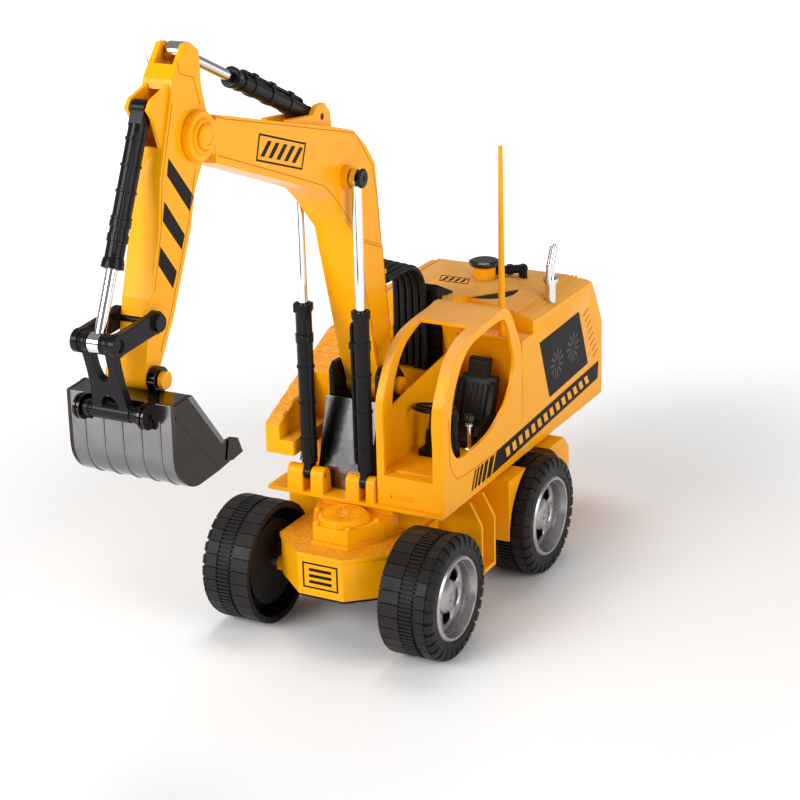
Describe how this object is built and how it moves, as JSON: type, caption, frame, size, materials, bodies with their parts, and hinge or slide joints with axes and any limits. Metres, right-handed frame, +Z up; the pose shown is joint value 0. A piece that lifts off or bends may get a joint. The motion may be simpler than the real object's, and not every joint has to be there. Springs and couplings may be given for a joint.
{
  "type": "toy excavator",
  "caption": "Radio-controlled toy wheeled excavator with a slewing cab and engine housing, a cranked boom, stick and bucket on dummy cylinders.",
  "frame": {"origin": "on the ground under the slew axis, midway between the axles", "axes": "+X towards the bucket, +Y to the cab side, +Z up"},
  "size_m": [0.438, 0.1434, 0.3497],
  "materials": {
    "yellow_plastic": "gloss",
    "black_plastic": "gloss",
    "tyre_rubber": "matte",
    "silver_plastic": "satin",
    "chrome": "mirror",
    "steel": "satin",
    "soft_hose": "satin",
    "gear_case": "matte",
    "board": "matte",
    "cells": "matte"
  },
  "bodies": {
    "carrier": {"chassis_shell": "yellow_plastic", "chassis_cover": "black_plastic", "cover_screws": "steel", "battery_door": "black_plastic", "battery_pack": "cells", "drive_gearboxes": "gear_case", "front_axle": "steel", "nose_cap": "yellow_plastic", "slew_ring": "steel", "slew_gearbox": "gear_case"},
    "wheel_front_left": {"tyre_front_left": "tyre_rubber", "rim_front_left": "silver_plastic"},
    "wheel_front_right": {"tyre_front_right": "tyre_rubber", "rim_front_right": "silver_plastic"},
    "wheel_rear_left": {"tyre_rear_left": "tyre_rubber", "rim_rear_left": "silver_plastic", "stub_axle_left": "steel"},
    "wheel_rear_right": {"tyre_rear_right": "tyre_rubber", "rim_rear_right": "silver_plastic", "stub_axle_right": "steel"},
    "upper": {"deck_plate": "yellow_plastic", "engine_housing": "yellow_plastic", "hood_inlay": "black_plastic", "front_grille": "black_plastic", "right_platform": "yellow_plastic", "cab_frame": "yellow_plastic", "cab_seat": "black_plastic", "steering_column": "black_plastic", "antenna": "yellow_plastic", "exhaust_pipes": "chrome", "intake_cap": "black_plastic", "intake_elbow": "black_plastic", "boom_bracket": "black_plastic", "guard_plate": "black_plastic", "lift_base_pins": "steel", "boom_foot_pin": "yellow_plastic", "circuit_board": "board", "housing_screws": "steel", "side_stickers": "black_plastic", "hydraulic_hoses": "soft_hose"},
    "steering": {"steering_wheel": "black_plastic"},
    "lever": {"control_lever": "chrome"},
    "boom": {"boom_shell": "yellow_plastic", "boom_pins": "black_plastic"},
    "stick": {"stick_shell": "yellow_plastic", "stick_pins": "yellow_plastic"},
    "bucket": {"bucket_shell": "black_plastic", "bucket_pins": "black_plastic"},
    "rocker": {"rocker_links": "black_plastic"},
    "h_link": {"bucket_link": "black_plastic"},
    "lift_barrel_l": {"lift_barrel_left": "black_plastic"},
    "lift_barrel_r": {"lift_barrel_right": "black_plastic"},
    "lift_rod_l": {"lift_rod_left": "chrome"},
    "lift_rod_r": {"lift_rod_right": "chrome"},
    "stick_cylinder": {"stick_barrel": "black_plastic"},
    "stick_piston": {"stick_rod": "chrome"},
    "bucket_cylinder": {"bucket_barrel": "black_plastic"},
    "bucket_piston": {"bucket_rod": "chrome"}
  },
  "joints": [
    {"name": "slew", "type": "hinge", "parent": "carrier", "child": "upper", "pos_m": [0, 0, 0.0718], "axis": [0, 0, 1], "continuous": true},
    {"name": "wheel_front_left_spin", "type": "hinge", "parent": "carrier", "child": "wheel_front_left", "pos_m": [0.061, 0.056, 0.035], "axis": [0, 1, 0], "continuous": true},
    {"name": "wheel_front_right_spin", "type": "hinge", "parent": "carrier", "child": "wheel_front_right", "pos_m": [0.061, -0.056, 0.035], "axis": [0, 1, 0], "continuous": true},
    {"name": "wheel_rear_left_spin", "type": "hinge", "parent": "carrier", "child": "wheel_rear_left", "pos_m": [-0.061, 0.056, 0.035], "axis": [0, 1, 0], "continuous": true},
    {"name": "wheel_rear_right_spin", "type": "hinge", "parent": "carrier", "child": "wheel_rear_right", "pos_m": [-0.061, -0.056, 0.035], "axis": [0, 1, 0], "continuous": true},
    {"name": "boom_lift", "type": "hinge", "parent": "upper", "child": "boom", "pos_m": [0, -0.012, 0.127], "axis": [0, -1, 0], "range_deg": [-22, 8], "deforming": ["hydraulic_hoses"]},
    {"name": "stick_swing", "type": "hinge", "parent": "boom", "child": "stick", "pos_m": [0.1733, -0.012, 0.3063], "axis": [0, -1, 0], "range_deg": [-16, 18]},
    {"name": "bucket_curl", "type": "hinge", "parent": "stick", "child": "bucket", "pos_m": [0.2205, -0.012, 0.2025], "axis": [0, -1, 0], "range_deg": [-10, 35]},
    {"name": "lift_barrel_l_tilt", "type": "hinge", "parent": "upper", "child": "lift_barrel_l", "pos_m": [0.0415, 0.0058, 0.084], "axis": [0, -1, 0], "range_deg": [-17.22, 6.26]},
    {"name": "lift_rod_l_slide", "type": "slide", "parent": "lift_barrel_l", "child": "lift_rod_l", "axis": [-0.0012, 0, 1], "range_m": [-0.01774, 0.00645]},
    {"name": "lift_barrel_r_tilt", "type": "hinge", "parent": "upper", "child": "lift_barrel_r", "pos_m": [0.0415, -0.0298, 0.084], "axis": [0, -1, 0], "range_deg": [-17.22, 6.26]},
    {"name": "lift_rod_r_slide", "type": "slide", "parent": "lift_barrel_r", "child": "lift_rod_r", "axis": [-0.0012, 0, 1], "range_m": [-0.01774, 0.00645]},
    {"name": "stick_cylinder_tilt", "type": "hinge", "parent": "boom", "child": "stick_cylinder", "pos_m": [0.057, -0.012, 0.291], "axis": [0, -1, 0], "range_deg": [-1.76, 1.98]},
    {"name": "stick_piston_slide", "type": "slide", "parent": "stick_cylinder", "child": "stick_piston", "axis": [0.9053, 0, 0.4248], "range_m": [-0.01139, 0.01013]},
    {"name": "bucket_cylinder_tilt", "type": "hinge", "parent": "stick", "child": "bucket_cylinder", "pos_m": [0.203, -0.012, 0.325], "axis": [0, -1, 0], "range_deg": [-0.79, 2.77]},
    {"name": "bucket_piston_slide", "type": "slide", "parent": "bucket_cylinder", "child": "bucket_piston", "axis": [0.4267, 0, -0.9044], "range_m": [-0.01383, 0.00395]},
    {"name": "rocker_swing", "type": "hinge", "parent": "stick", "child": "rocker", "pos_m": [0.219, -0.012, 0.2295], "axis": [0, -1, 0], "range_deg": [-8.08, 28.27]},
    {"name": "link_swing", "type": "hinge", "parent": "rocker", "child": "h_link", "pos_m": [0.249, -0.012, 0.2275], "axis": [0, -1, 0], "range_deg": [-20.07, 5.74]},
    {"name": "steering_turn", "type": "hinge", "parent": "upper", "child": "steering", "pos_m": [0.00228, 0.029, 0.11751], "axis": [-0.2051, 0, 0.9787], "range_deg": [-170, 170]},
    {"name": "lever_rock", "type": "hinge", "parent": "upper", "child": "lever", "pos_m": [-0.0045, 0.0465, 0.0934], "axis": [0, 1, 0], "range_deg": [-18, 18]}
  ],
  "couplings": [
    {"joint": "lift_barrel_l_tilt", "follows": "boom_lift", "ratio": 0.7676},
    {"joint": "lift_rod_l_slide", "follows": "boom_lift", "m_per_rad": 0.045303},
    {"joint": "lift_barrel_r_tilt", "follows": "boom_lift", "ratio": 0.7676},
    {"joint": "lift_rod_r_slide", "follows": "boom_lift", "m_per_rad": 0.045303},
    {"joint": "stick_cylinder_tilt", "follows": "stick_swing", "ratio": 0.10788},
    {"joint": "stick_piston_slide", "follows": "stick_swing", "m_per_rad": -0.035546},
    {"joint": "bucket_cylinder_tilt", "follows": "bucket_curl", "ratio": 0.07757},
    {"joint": "bucket_piston_slide", "follows": "bucket_curl", "m_per_rad": -0.022195},
    {"joint": "rocker_swing", "follows": "bucket_curl", "ratio": 0.792},
    {"joint": "link_swing", "follows": "bucket_curl", "ratio": -0.56225}
  ]
}
